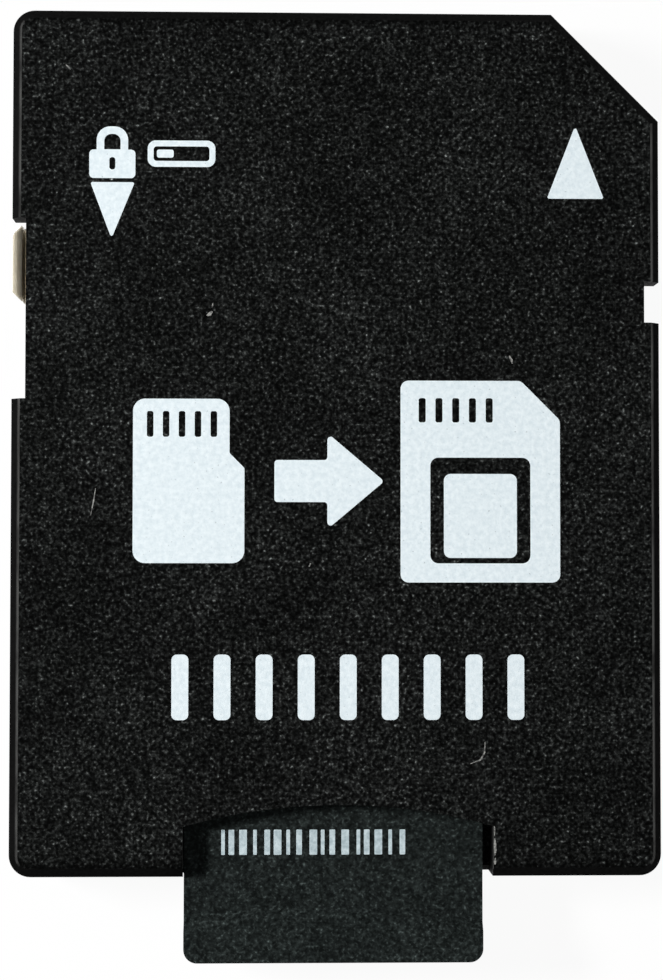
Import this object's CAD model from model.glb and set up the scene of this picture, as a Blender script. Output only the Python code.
"""Looks of a memory card adapter with a small memory card drawn part of the way out of it."""
import math

import bpy
from mathutils import Matrix, Vector


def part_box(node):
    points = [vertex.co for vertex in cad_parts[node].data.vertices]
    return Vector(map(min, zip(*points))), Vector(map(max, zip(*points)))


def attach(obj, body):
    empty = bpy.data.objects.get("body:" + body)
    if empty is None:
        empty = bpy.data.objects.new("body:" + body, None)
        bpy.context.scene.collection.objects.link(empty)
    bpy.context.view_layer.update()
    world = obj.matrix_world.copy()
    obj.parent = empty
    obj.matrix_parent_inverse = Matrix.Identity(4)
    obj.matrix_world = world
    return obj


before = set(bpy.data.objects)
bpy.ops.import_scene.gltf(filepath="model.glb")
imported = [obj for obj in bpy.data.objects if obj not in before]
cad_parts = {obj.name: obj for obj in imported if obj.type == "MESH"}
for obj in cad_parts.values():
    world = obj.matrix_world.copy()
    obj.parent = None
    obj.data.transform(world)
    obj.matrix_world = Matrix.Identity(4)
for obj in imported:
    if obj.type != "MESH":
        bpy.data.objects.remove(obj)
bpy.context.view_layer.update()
MM = 0.001

# the camera, fitted to the slant of the adapter's four edges in the photograph
CAMERA_PLACE = (-2.54 * MM, -4.60 * MM, 82.1 * MM)
CAMERA_TURN_DEG = (2.00, -1.68, 0.05)
LENS_MM = 79.88
SENSOR_MM = 36

# what the frame says
COVER_LOW, COVER_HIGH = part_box("top_cover")
CARD_LOW, CARD_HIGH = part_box("card_moulding")
BOARD_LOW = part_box("card_board")[0]
TAB_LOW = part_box("lock_tab")[0]
LABEL_Z = COVER_HIGH.z

# what its boxes don't say: the bevel round the cover's face, and the raised part of the lock tab's grip
BEVEL = 0.35 * MM
GRIP_W = 0.38 * MM
# the small card's label face lies lower than its finger lip
CARD_THICKNESS = 0.7 * MM
CARD_FACE_Z = BOARD_LOW.z + CARD_THICKNESS

# printed ink: how far it stands proud, and how far it is let in
INK_RISE = 0.006 * MM
INK_SINK = 0.004 * MM
ARC_STEPS = 8

# most of a noise texture's values lie between these
NOISE_LOW, NOISE_HIGH = 0.3, 0.7

# the places of a Mix node's sockets: its factor, the two values or colours that it blends, and the result
MIX_FACTOR = 0
MIX_VALUES, MIX_VALUE_OUT = (2, 3), 0
MIX_COLOURS, MIX_COLOUR_OUT = (6, 7), 2

# the soft even light on the object
SOFT_COLOUR = (0.95, 0.97, 1.0, 1)
SOFT_STRENGTH = 0.045
# how much of the floor's look is plain white near the object; the rest takes the light and keeps the shadow
FLOOR_WHITE = 0.94


# nodes

def make_node(tree, kind, settings=None, inputs=None):
    """A shader node with its settings, and its sockets set to values or linked to other sockets."""
    node = tree.nodes.new(kind)
    for key, value in (settings or {}).items():
        setattr(node, key, value)
    for key, value in (inputs or {}).items():
        if isinstance(value, bpy.types.NodeSocket):
            tree.links.new(value, node.inputs[key])
        else:
            node.inputs[key].default_value = value
    return node


def make_material(name, sockets):
    """A Principled material with its constant sockets set. Returns (material, tree, shader)."""
    material = bpy.data.materials.new(name)
    material.use_nodes = True
    tree = material.node_tree
    shader = tree.nodes["Principled BSDF"]
    for key, value in sockets.items():
        shader.inputs[key].default_value = value
    return material, tree, shader


def link_surface(tree, shader, colour, relief, depth, roughness=None):
    """Gives a material its colour, its relief of the given depth and, where it varies, its roughness."""
    tree.links.new(colour, shader.inputs["Base Color"])
    if roughness is not None:
        tree.links.new(roughness, shader.inputs["Roughness"])
    inputs = {"Height": relief, "Distance": depth, "Strength": 1.0}
    bump = make_node(tree, "ShaderNodeBump", inputs=inputs)
    tree.links.new(bump.outputs["Normal"], shader.inputs["Normal"])


def place_of(tree, scale=(1, 1, 1)):
    """Each point's place on its own piece, in metres. A scale under 1 draws a grain out along that axis."""
    coord = make_node(tree, "ShaderNodeTexCoord")
    inputs = {"Vector": coord.outputs["Object"], "Scale": scale}
    return make_node(tree, "ShaderNodeMapping", inputs=inputs).outputs["Vector"]


def noise(tree, place, scale, detail, roughness):
    """Noise with about scale features to a metre."""
    inputs = {"Vector": place, "Scale": scale, "Detail": detail, "Roughness": roughness}
    return make_node(tree, "ShaderNodeTexNoise", inputs=inputs).outputs["Fac"]


def spread(tree, value, low, high, to_low=0.0, to_high=1.0):
    """value taken from low..high to to_low..to_high, and held at both ends."""
    inputs = {"Value": value, "From Min": low, "From Max": high, "To Min": to_low, "To Max": to_high}
    return make_node(tree, "ShaderNodeMapRange", inputs=inputs).outputs["Result"]


def over_noise(tree, value, to_low=0.0, to_high=1.0):
    """A noise's usual values taken to to_low..to_high."""
    return spread(tree, value, NOISE_LOW, NOISE_HIGH, to_low, to_high)


def combine(tree, operation, first, second):
    """One value made from two."""
    return make_node(tree, "ShaderNodeMath", {"operation": operation}, {0: first, 1: second}).outputs[0]


def absolute(tree, value):
    """A value without its sign."""
    return make_node(tree, "ShaderNodeMath", {"operation": "ABSOLUTE"}, {0: value}).outputs[0]


def axes(tree, vector):
    """The sockets X, Y and Z of a vector."""
    return make_node(tree, "ShaderNodeSeparateXYZ", inputs={0: vector}).outputs


def facing(tree, axis):
    """How squarely the surface faces along an axis, either way: 1 when it faces right along it."""
    normal = make_node(tree, "ShaderNodeNewGeometry").outputs["True Normal"]
    return absolute(tree, axes(tree, normal)[axis])


def blend_values(tree, factor, first, second):
    """From the first value to the second as factor goes from 0 to 1."""
    inputs = {MIX_FACTOR: factor, MIX_VALUES[0]: first, MIX_VALUES[1]: second}
    return make_node(tree, "ShaderNodeMix", {"data_type": "FLOAT"}, inputs).outputs[MIX_VALUE_OUT]


def blend_colours(tree, factor, first, second):
    """From the first colour to the second as factor goes from 0 to 1. Each is a socket or three values."""
    inputs = {MIX_FACTOR: factor}
    for place, colour in zip(MIX_COLOURS, (first, second)):
        inputs[place] = colour if isinstance(colour, bpy.types.NodeSocket) else (*colour, 1)
    return make_node(tree, "ShaderNodeMix", {"data_type": "RGBA"}, inputs).outputs[MIX_COLOUR_OUT]


def tinted(tree, colour, factor):
    """A colour made lighter or darker by a factor."""
    inputs = {0: colour, "Scale": factor}
    return make_node(tree, "ShaderNodeVectorMath", {"operation": "SCALE"}, inputs).outputs[0]


# materials

def grained_plastic(name, colour, rim_colour, rim_slant, grain, contrast, sparkle, roughness, depth, gloss):
    """Spark-finished moulded plastic: grained on its faces, and smoother on its bevels and walls.

    A surface whose normal's Z is under rim_slant is taken for a bevel or a wall, and has rim_colour. On a
    face the grain's noise sets how light the colour is: the noise's full range, which it seldom reaches,
    would be contrast times darker to contrast times lighter. A few glints, smaller than the grain, are up
    to sparkle times lighter again.
    """
    noise_middle, noise_reach = 0.5, 0.5
    slant_blur = 0.05
    # broad patches shift the grain's noise by this much either way
    patch_scale, patch_shift = 300, 0.04
    glint_scale = 1.4 * grain
    glint_from, glint_full, no_glint = 0.60, 0.80, 0.93
    rim_dark, rim_light, rim_relief = 0.5, 1.7, 0.3
    material, tree, shader = make_material(name, {"Specular IOR Level": gloss})
    place = place_of(tree)
    flat = spread(tree, facing(tree, "Z"), rim_slant - slant_blur, rim_slant + slant_blur)
    fine = noise(tree, place, grain, 2.0, 0.5)
    broad = noise(tree, place, patch_scale, 3.0, 0.6)
    shift = over_noise(tree, broad, -noise_middle - patch_shift, -noise_middle + patch_shift)
    power = combine(tree, "MULTIPLY", combine(tree, "ADD", fine, shift), 1 / noise_reach)
    factor = combine(tree, "POWER", contrast, power)
    specks = noise(tree, place, glint_scale, 0.0, 0.5)
    glints = spread(tree, specks, glint_from, glint_full, no_glint, sparkle)
    face = tinted(tree, colour, combine(tree, "MULTIPLY", factor, glints))
    mottle = spread(tree, combine(tree, "ADD", fine, broad), 0.7, 1.3, rim_dark, rim_light)
    shade = blend_colours(tree, flat, tinted(tree, rim_colour, mottle), face)
    rough = over_noise(tree, fine, roughness + 0.12, roughness - 0.1)
    relief = combine(tree, "MULTIPLY", fine, spread(tree, flat, 0.0, 1.0, rim_relief, 1.0))
    link_surface(tree, shader, shade, relief, depth, rough)
    return material


def cover_edges(material):
    """The shell's edges, as the mould and use leave them.

    The face is darker at both ends. The bevel round it is darkest, and has a line along the top of both its
    long sides that a slot has rubbed lighter, most on the right.
    """
    face_end = COVER_HIGH.y - BEVEL
    fade_from, fade_full = face_end - 0.30 * MM, face_end - 0.05 * MM
    bevel_low = LABEL_Z - BEVEL
    end_share, bevel_share = 0.45, 0.09
    line_low, line_full = LABEL_Z - 0.12 * MM, LABEL_Z - 0.06 * MM
    line_colour, right_share = (0.033, 0.033, 0.032), 3.4
    tree = material.node_tree
    shader = tree.nodes["Principled BSDF"]
    shade = shader.inputs["Base Color"].links[0].from_socket
    place = axes(tree, place_of(tree))
    along = absolute(tree, place["Y"])
    fade = spread(tree, along, fade_from, fade_full, 1.0, end_share)
    bevel = spread(tree, place["Z"], bevel_low - 0.06 * MM, bevel_low, 1.0, bevel_share)
    level = spread(tree, facing(tree, "Z"), 0.85, 0.95)
    shade = tinted(tree, shade, blend_values(tree, level, bevel, fade))
    line = spread(tree, place["Z"], line_low, line_full)
    sideways = spread(tree, facing(tree, "X"), 0.5, 0.65)
    rub = noise(tree, place_of(tree, (1, 0.3, 1)), 2500, 3.0, 0.6)
    worn = combine(tree, "MULTIPLY", line, sideways)
    worn = combine(tree, "MULTIPLY", worn, spread(tree, rub, 0.35, 0.6, 0.3, 1.0))
    to_right = spread(tree, place["X"], COVER_LOW.x, COVER_HIGH.x, 1.0, right_share)
    shade = blend_colours(tree, worn, shade, tinted(tree, line_colour, to_right))
    tree.links.new(shade, shader.inputs["Base Color"])


def tab_plastic():
    """Natural nylon, which lets light through: its grip is soiled, and its low step is still clean."""
    dull, pale = (0.135, 0.122, 0.092), (0.185, 0.168, 0.132)
    dirt, clean = (0.085, 0.075, 0.058), (0.60, 0.56, 0.49)
    outer_share, inner_share = 1.2, 0.6
    grip_end = TAB_LOW.x + GRIP_W
    material, tree, shader = make_material("tab_plastic", {
        "Specular IOR Level": 0.1, "Roughness": 0.5, "Subsurface Weight": 1.0,
        "Subsurface Radius": (1.0, 0.97, 0.92), "Subsurface Scale": 1.2 * MM,
    })
    place = place_of(tree)
    streaks = noise(tree, place_of(tree, (1, 0.15, 1)), 9000, 3.0, 0.6)
    cloud = noise(tree, place, 1800, 2.0, 0.5)
    across = axes(tree, place)["X"]
    grip = blend_colours(tree, over_noise(tree, cloud), dull, pale)
    grip = blend_colours(tree, spread(tree, streaks, 0.5, 0.75, 0.0, 0.6), grip, dirt)
    grip = tinted(tree, grip, spread(tree, across, TAB_LOW.x, grip_end, outer_share, inner_share))
    step = spread(tree, across, grip_end, grip_end + 0.03 * MM)
    link_surface(tree, shader, blend_colours(tree, step, grip, clean), streaks, 0.004 * MM)
    return material


def printed_ink(name, thin, thick):
    """Screen print over the grain: mottled between its thin and thick colours, with pin holes."""
    pin_hole = (0.35, 0.40, 0.42)
    material, tree, shader = make_material(name, {"Specular IOR Level": 0.08})
    place = place_of(tree)
    mottle = noise(tree, place, 5200, 3.0, 0.6)
    pits = noise(tree, place, 9500, 1.0, 0.5)
    shade = blend_colours(tree, spread(tree, mottle, 0.35, 0.65), thin, thick)
    shade = blend_colours(tree, spread(tree, pits, 0.70, 0.78, 0.0, 0.6), shade, pin_hole)
    link_surface(tree, shader, shade, mottle, 0.008 * MM, over_noise(tree, mottle, 0.62, 0.48))
    return material


def gold_plate():
    """Gold on rolled strip: fine rolling lines and the wipe marks of many insertions, along Y."""
    deep, light, wiped = (0.86, 0.62, 0.26), (0.95, 0.76, 0.42), (0.70, 0.58, 0.38)
    material, tree, shader = make_material("gold_plate", {"Metallic": 1.0})
    along = place_of(tree, (1, 0.03, 1))
    lines = noise(tree, along, 16000, 3.0, 0.65)
    wipes = noise(tree, along, 2600, 2.0, 0.5)
    cloud = noise(tree, place_of(tree), 900, 3.0, 0.6)
    shade = blend_colours(tree, over_noise(tree, cloud), deep, light)
    shade = blend_colours(tree, spread(tree, wipes, 0.60, 0.72, 0.0, 0.5), shade, wiped)
    line_rough = over_noise(tree, lines, 0.20, 0.36)
    wipe_rough = spread(tree, wipes, 0.55, 0.75, 0.0, 0.15)
    link_surface(tree, shader, shade, lines, 0.0015 * MM, combine(tree, "ADD", line_rough, wipe_rough))
    return material


def spring_steel():
    """Rolled spring steel, its grain along Y."""
    dark, light = (0.50, 0.50, 0.50), (0.68, 0.68, 0.67)
    material, tree, shader = make_material("spring_steel", {"Metallic": 1.0})
    lines = noise(tree, place_of(tree, (1, 0.04, 1)), 14000, 3.0, 0.6)
    shade = blend_colours(tree, over_noise(tree, lines), dark, light)
    link_surface(tree, shader, shade, lines, 0.002 * MM, over_noise(tree, lines, 0.28, 0.42))
    return material


def lacquered_board():
    """Laminate board under a black lacquer: the glass weave shows faintly through it."""
    dark, light, glass = (0.008, 0.012, 0.010), (0.014, 0.020, 0.017), (0.020, 0.028, 0.024)
    material, tree, shader = make_material("lacquered_board", {"Specular IOR Level": 0.5})
    place = place_of(tree)
    inputs = {"Vector": place, "Scale": 900.0}
    warp, weft = [make_node(tree, "ShaderNodeTexWave", {"bands_direction": axis}, inputs) for axis in "XY"]
    weave = combine(tree, "MULTIPLY", warp.outputs["Fac"], weft.outputs["Fac"])
    cloud = noise(tree, place, 1500, 2.0, 0.5)
    shade = blend_colours(tree, over_noise(tree, cloud), dark, light)
    shade = blend_colours(tree, spread(tree, weave, 0.2, 1.0, 0.0, 0.5), shade, glass)
    link_surface(tree, shader, shade, weave, 0.003 * MM, over_noise(tree, cloud, 0.26, 0.38))
    return material


def ground_silicon():
    """The ground back of a chip, with its grinding lines."""
    dark, light = (0.20, 0.21, 0.24), (0.32, 0.33, 0.37)
    material, tree, shader = make_material("ground_silicon", {"Metallic": 0.6})
    lines = noise(tree, place_of(tree, (0.05, 1, 1)), 15000, 2.0, 0.6)
    shade = blend_colours(tree, over_noise(tree, lines), dark, light)
    link_surface(tree, shader, shade, lines, 0.001 * MM, over_noise(tree, lines, 0.22, 0.34))
    return material


def scuffed_plastic():
    """Bare, whitened plastic in a scratch."""
    dark, light = (0.05, 0.05, 0.05), (0.34, 0.34, 0.32)
    material, tree, shader = make_material("scuffed_plastic", {"Specular IOR Level": 0.3, "Roughness": 0.7})
    streak = noise(tree, place_of(tree), 12000, 2.0, 0.6)
    shade = blend_colours(tree, spread(tree, streak, 0.35, 0.65), dark, light)
    link_surface(tree, shader, shade, streak, 0.004 * MM)
    return material


def dress(node_names, material):
    """Gives CAD nodes their finish."""
    for name in node_names:
        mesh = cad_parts[name].data
        mesh.materials.clear()
        mesh.materials.append(material)


def dress_cad():
    """Every CAD node's finish."""
    shell = grained_plastic(
        "shell_plastic", colour=(0.0054, 0.0058, 0.0056), rim_colour=(0.0095, 0.0098, 0.0096), rim_slant=0.9,
        grain=7500, contrast=95.0, sparkle=4.8, roughness=0.54, depth=0.010 * MM, gloss=0.012,
    )
    cover_edges(shell)
    card = grained_plastic(
        "card_plastic", colour=(0.0113, 0.0142, 0.0136), rim_colour=(0.0060, 0.0072, 0.0070), rim_slant=0.5,
        grain=7000, contrast=10.5, sparkle=2.9, roughness=0.42, depth=0.005 * MM, gloss=0.02,
    )
    dress(["base_shell", "top_cover"], shell)
    dress(["card_moulding"], card)
    dress(["lock_tab"], tab_plastic())
    dress([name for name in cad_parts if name.startswith(("contact_", "card_pad_"))], gold_plate())
    dress(["card_latch"], spring_steel())
    dress(["card_board"], lacquered_board())
    dress(["memory_die", "controller_die"], ground_silicon())


# outlines, in millimetres from the middle of the label

def rounded(corners, radii):
    """A closed outline through the corners, each rounded by its own radius or all by one."""
    outline = []
    count = len(corners)
    for i, corner in enumerate(corners):
        here = Vector(corner)
        back = (Vector(corners[i - 1]) - here).normalized()
        ahead = (Vector(corners[(i + 1) % count]) - here).normalized()
        radius = radii[i] if isinstance(radii, list) else radii
        if radius == 0:
            outline.append(here)
            continue
        half = back.angle(ahead) / 2
        middle = here + (back + ahead).normalized() * radius / math.sin(half)
        first = here + back * radius / math.tan(half) - middle
        last = here + ahead * radius / math.tan(half) - middle
        turn = first.angle_signed(last)
        for step in range(ARC_STEPS + 1):
            angle = -turn * step / ARC_STEPS
            outline.append(middle + Vector((
                first.x * math.cos(angle) - first.y * math.sin(angle),
                first.x * math.sin(angle) + first.y * math.cos(angle),
            )))
    return outline


def bar(x, y, w, h, r):
    """Outline of a rounded bar about (x, y)."""
    left, right = x - w / 2, x + w / 2
    low, high = y - h / 2, y + h / 2
    return rounded([(left, low), (right, low), (right, high), (left, high)], r)


def bar_row(count, first_x, pitch, y, w, h, r):
    """Outlines of equal bars side by side."""
    return [bar(first_x + i * pitch, y, w, h, r) for i in range(count)]


def arch(x, low, high, w, r):
    """Outline of an upright arch about x, square at its foot."""
    left, right = x - w / 2, x + w / 2
    return rounded([(left, low), (right, low), (right, high), (left, high)], [0, 0, r, r])


def card_shape(x, y, w, h, cut, r):
    """Outline of a card about (x, y) with its upper right corner cut."""
    left, right = x - w / 2, x + w / 2
    low, high = y - h / 2, y + h / 2
    return rounded([(left, low), (right, low), (right, high - cut), (right - cut, high), (left, high)], r)


def ribbon(points, width):
    """Outline of a thin mark that follows the points and tapers to both ends."""
    tip = 0.35
    left, right = [], []
    last = len(points) - 1
    for i, point in enumerate(points):
        here = Vector(point)
        run = Vector(points[min(i + 1, last)]) - Vector(points[max(i - 1, 0)])
        half_width = width / 2 * math.sin(math.pi * (i + tip) / (last + 2 * tip))
        side = Vector((-run.y, run.x)).normalized() * half_width
        left.append(here + side)
        right.append(here - side)
    return left + right[::-1]


# print and wear

def printed(name, outlines, face_z, body, material):
    """A thin layer on a face, which moves with body: outlines are filled, and one in another is a hole."""
    curve = bpy.data.curves.new(name, "CURVE")
    curve.dimensions = "2D"
    curve.fill_mode = "BOTH"
    curve.extrude = (INK_RISE + INK_SINK) / 2 / MM
    for outline in outlines:
        spline = curve.splines.new("POLY")
        spline.points.add(len(outline) - 1)
        for point, place in zip(spline.points, outline):
            point.co = (place[0], place[1], 0, 1)
        spline.use_cyclic_u = True
    maker = bpy.data.objects.new(name + "_outline", curve)
    bpy.context.scene.collection.objects.link(maker)
    bpy.context.view_layer.update()
    mesh = bpy.data.meshes.new_from_object(maker.evaluated_get(bpy.context.evaluated_depsgraph_get()))
    bpy.data.objects.remove(maker)
    to_face = Matrix.Translation((0, 0, face_z + (INK_RISE - INK_SINK) / 2))
    mesh.transform(to_face @ Matrix.Scale(MM, 4))
    mesh.materials.clear()
    mesh.materials.append(material)
    piece = bpy.data.objects.new(name, mesh)
    bpy.context.scene.collection.objects.link(piece)
    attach(piece, body)


def print_arrows(ink):
    """The two insertion arrows of the photograph."""
    down = [(-9.11, 9.55), (-8.32, 7.46), (-7.47, 9.55)]
    up = [(7.79, 9.03), (9.91, 9.03), (8.85, 11.76)]
    printed("print_down_arrow", [rounded(down, 0.06)], LABEL_Z, "adapter", ink)
    printed("print_up_arrow", [rounded(up, 0.06)], LABEL_Z, "adapter", ink)


def print_lock_sign(ink):
    """A padlock, and a switch with its knob at one end."""
    lock_x = -8.3
    body = bar(lock_x, 10.23, w=1.7, h=1.06, r=0.16)
    key_hole = bar(lock_x, 10.25, w=0.22, h=0.46, r=0.1)
    bow_out = arch(lock_x, low=10.76, high=11.62, w=1.16, r=0.5)
    bow_in = arch(lock_x, low=10.77, high=11.34, w=0.60, r=0.26)
    printed("print_padlock", [body, key_hole, bow_out, bow_in], LABEL_Z, "adapter", ink)
    switch_x, switch_y = -5.75, 10.62
    slot_out = bar(switch_x, switch_y, w=2.5, h=0.98, r=0.3)
    slot_in = bar(switch_x, switch_y, w=2.06, h=0.54, r=0.12)
    knob = bar(switch_x - 0.6, switch_y, w=0.62, h=0.30, r=0.08)
    printed("print_switch", [slot_out, slot_in, knob], LABEL_Z, "adapter", ink)


def print_card_sign(ink):
    """The middle of the label: a small card, an arrow, and the adapter that it goes into."""
    left, right, low, high = -7.5, -3.4, -4.5, 1.55
    inner_right, shoulder_low, shoulder_high = -3.95, -1.0, -0.45
    small = rounded([
        (left, low), (right, low), (right, shoulder_low), (inner_right, shoulder_high),
        (inner_right, high), (left, high),
    ], [0.45, 0.45, 0.15, 0.15, 0.45, 0.45])
    small_pads = bar_row(5, first_x=-6.87, pitch=0.585, y=0.62, w=0.24, h=0.95, r=0.08)
    printed("print_small_card", [small] + small_pads, LABEL_Z, "adapter", ink)

    tail_x, neck_x, tip_x = -2.3, -0.35, 1.75
    shaft_low, shaft_high, head_low, head_high, tip_y = -2.25, -0.70, -3.25, 0.30, -1.48
    arrow = rounded([
        (tail_x, shaft_low), (neck_x, shaft_low), (neck_x, head_low), (tip_x, tip_y),
        (neck_x, head_high), (neck_x, shaft_high), (tail_x, shaft_high),
    ], 0.12)
    printed("print_insert_arrow", [arrow], LABEL_Z, "adapter", ink)

    adapter_x = 5.3
    adapter = card_shape(adapter_x, -1.48, w=5.9, h=7.45, cut=1.45, r=0.3)
    window = bar(adapter_x, -2.55, w=3.7, h=3.9, r=0.3)
    card_inside = bar(adapter_x, -2.75, w=2.7, h=3.1, r=0.25)
    pads = bar_row(5, first_x=3.15, pitch=0.62, y=1.15, w=0.26, h=0.9, r=0.08)
    printed("print_adapter", [adapter, window, card_inside] + pads, LABEL_Z, "adapter", ink)


def print_pad_row(ink):
    """A row of nine bars, one for each contact pad."""
    count = 9
    first_x, last_x = -5.75, 6.6
    pitch = (last_x - first_x) / (count - 1)
    bars = bar_row(count, first_x, pitch, y=-9.05, w=0.62, h=2.4, r=0.2)
    printed("print_pad_row", bars, LABEL_Z, "adapter", ink)


def print_card_code(ink):
    """A plain strip on the small card: its bars and gaps take their widths in turn from two short lists."""
    first_x, last_x = CARD_LOW.x / MM + 1.37, CARD_HIGH.x / MM - 2.74
    top_y, height = CARD_LOW.y / MM + 4.83, 0.92
    unit = 0.135
    bar_units = (1.0, 1.55, 2.1)
    gap_units = (1.0, 1.35, 1.7, 2.05)
    bars = []
    x = first_x
    while x < last_x - 2 * unit:
        width = unit * bar_units[len(bars) % len(bar_units)]
        gap = unit * gap_units[len(bars) % len(gap_units)]
        bars.append(bar(x + width / 2, top_y - height / 2, width, height, 0.03))
        x += width + gap
    printed("print_card_code", bars, CARD_FACE_Z, "card", ink)


def add_wear():
    """The few scratches and flecks that the photograph shows on the label side, each with its width."""
    bare = scuffed_plastic()
    marks = {
        "fleck_upper_right": ([(6.38, 3.18), (6.46, 3.02), (6.50, 2.88)], 0.09),
        "fleck_left": ([(-4.80, 4.62), (-4.69, 4.68), (-4.60, 4.78)], 0.13),
        "fleck_left_small": ([(-4.61, 4.92), (-4.59, 5.00), (-4.58, 5.08)], 0.06),
        "scratch_left": ([(-8.86, -1.75), (-8.94, -2.25), (-9.04, -2.75)], 0.05),
        "scratch_low_right": ([(5.46, -11.05), (5.44, -11.45), (5.28, -11.72), (4.90, -11.86)], 0.06),
        "fleck_middle": ([(-1.02, -4.62), (-0.96, -4.50)], 0.07),
        "fleck_corner": ([(-10.02, 13.90), (-9.93, 13.82), (-9.86, 13.72)], 0.06),
        # the finger cut-out's right edge is rubbed where the card is pulled against it
        "cut_out_top": ([(5.80, -14.14), (5.81, -14.32), (5.80, -14.50)], 0.05),
        "cut_out_middle": ([(5.81, -14.58), (5.82, -14.80), (5.83, -15.02), (5.81, -15.22)], 0.10),
        "cut_out_low": ([(5.83, -15.30), (5.82, -15.44), (5.82, -15.54)], 0.09),
    }
    for name, (points, width) in marks.items():
        printed("wear_" + name, [ribbon(points, width)], LABEL_Z, "adapter", bare)


# floor, light and camera

def seen_white(tree):
    """1 for the rays that see the background: from the camera, in a reflection, or through a piece."""
    path = make_node(tree, "ShaderNodeLightPath")
    seen = combine(tree, "MAXIMUM", path.outputs["Is Camera Ray"], path.outputs["Is Glossy Ray"])
    return combine(tree, "MAXIMUM", seen, path.outputs["Is Transmission Ray"])


def show_white(tree, share, lit, white, output):
    """Shows plain white for its share, and what takes the light for the rest."""
    inputs = {0: share, 1: lit.outputs[0], 2: white.outputs[0]}
    mix = make_node(tree, "ShaderNodeMixShader", inputs=inputs)
    tree.links.new(mix.outputs[0], tree.nodes[output].inputs["Surface"])


def add_floor():
    """A plain pale floor that shows as white and keeps the object's shadow near it."""
    reach = 3.0
    gap = 0.02 * MM
    near, far = 0.05, 0.30
    mesh = bpy.data.meshes.new("floor")
    corners = [(-reach, -reach, 0), (reach, -reach, 0), (reach, reach, 0), (-reach, reach, 0)]
    mesh.from_pydata(corners, [], [(0, 1, 2, 3)])
    floor = bpy.data.objects.new("floor", mesh)
    floor.location.z = -gap
    bpy.context.scene.collection.objects.link(floor)
    material, tree, shader = make_material("floor", {"Base Color": (0.9, 0.9, 0.9, 1), "Roughness": 0.8})
    white = make_node(tree, "ShaderNodeEmission", inputs={"Color": (1, 1, 1, 1), "Strength": 1.0})
    length = make_node(tree, "ShaderNodeVectorMath", {"operation": "LENGTH"}, {0: place_of(tree)})
    whiteness = spread(tree, length.outputs["Value"], near, far, FLOOR_WHITE, 1.0)
    share = combine(tree, "MULTIPLY", seen_white(tree), whiteness)
    show_white(tree, share, shader, white, "Material Output")
    mesh.materials.append(material)


def add_world():
    """White where the camera or a reflection looks past the object, and a soft even light on it."""
    world = bpy.data.worlds.new("studio")
    bpy.context.scene.world = world
    world.use_nodes = True
    tree = world.node_tree
    soft = tree.nodes["Background"]
    soft.inputs["Color"].default_value = SOFT_COLOUR
    soft.inputs["Strength"].default_value = SOFT_STRENGTH
    white = make_node(tree, "ShaderNodeBackground", inputs={"Color": (1, 1, 1, 1), "Strength": 1.0})
    show_white(tree, seen_white(tree), soft, white, "World Output")


def add_lamp(name, azimuth, elevation, distance, width, height, power, mirrored=True):
    """An area lamp aimed at the object's origin. Azimuth 0 is +X, 90 is +Y.

    A lamp that isn't mirrored lights the object and leaves no highlight.
    """
    data = bpy.data.lights.new(name, "AREA")
    data.shape = "RECTANGLE"
    data.size = width
    data.size_y = height
    data.energy = power
    lamp = bpy.data.objects.new(name, data)
    turn, rise = math.radians(azimuth), math.radians(elevation)
    away = Vector((math.cos(rise) * math.cos(turn), math.cos(rise) * math.sin(turn), math.sin(rise)))
    lamp.location = away * distance
    lamp.rotation_euler = away.to_track_quat("Z", "Y").to_euler()
    lamp.visible_glossy = mirrored
    bpy.context.scene.collection.objects.link(lamp)


def add_lamps():
    """A key lamp at the left, and two low ones, at the right and the foot, that light the walls."""
    low_lamp = {"distance": 0.5, "width": 0.3, "power": 1.20, "mirrored": False}
    add_lamp("key", azimuth=168, elevation=24, distance=0.35, width=0.11, height=0.04, power=2.70)
    add_lamp("fill", azimuth=-15, elevation=6, height=0.07, **low_lamp)
    add_lamp("front", azimuth=-95, elevation=5, height=0.06, **low_lamp)


def add_camera():
    """Close above the label and a little to its lower left, as the photograph was taken."""
    data = bpy.data.cameras.new("camera")
    data.lens = LENS_MM
    data.sensor_width = SENSOR_MM
    data.clip_start = 0.01
    data.clip_end = 20
    camera = bpy.data.objects.new("camera", data)
    camera.location = CAMERA_PLACE
    camera.rotation_euler = [math.radians(turn) for turn in CAMERA_TURN_DEG]
    bpy.context.scene.collection.objects.link(camera)
    bpy.context.scene.camera = camera


def main():
    add_camera()
    add_floor()
    add_world()
    add_lamps()
    bpy.context.scene.view_settings.view_transform = "Standard"
    dress_cad()
    label_ink = printed_ink("white_ink", thin=(0.70, 0.79, 0.83), thick=(0.82, 0.90, 0.93))
    card_ink = printed_ink("card_ink", thin=(0.38, 0.47, 0.50), thick=(0.60, 0.70, 0.73))
    print_arrows(label_ink)
    print_lock_sign(label_ink)
    print_card_sign(label_ink)
    print_pad_row(label_ink)
    print_card_code(card_ink)
    add_wear()


main()
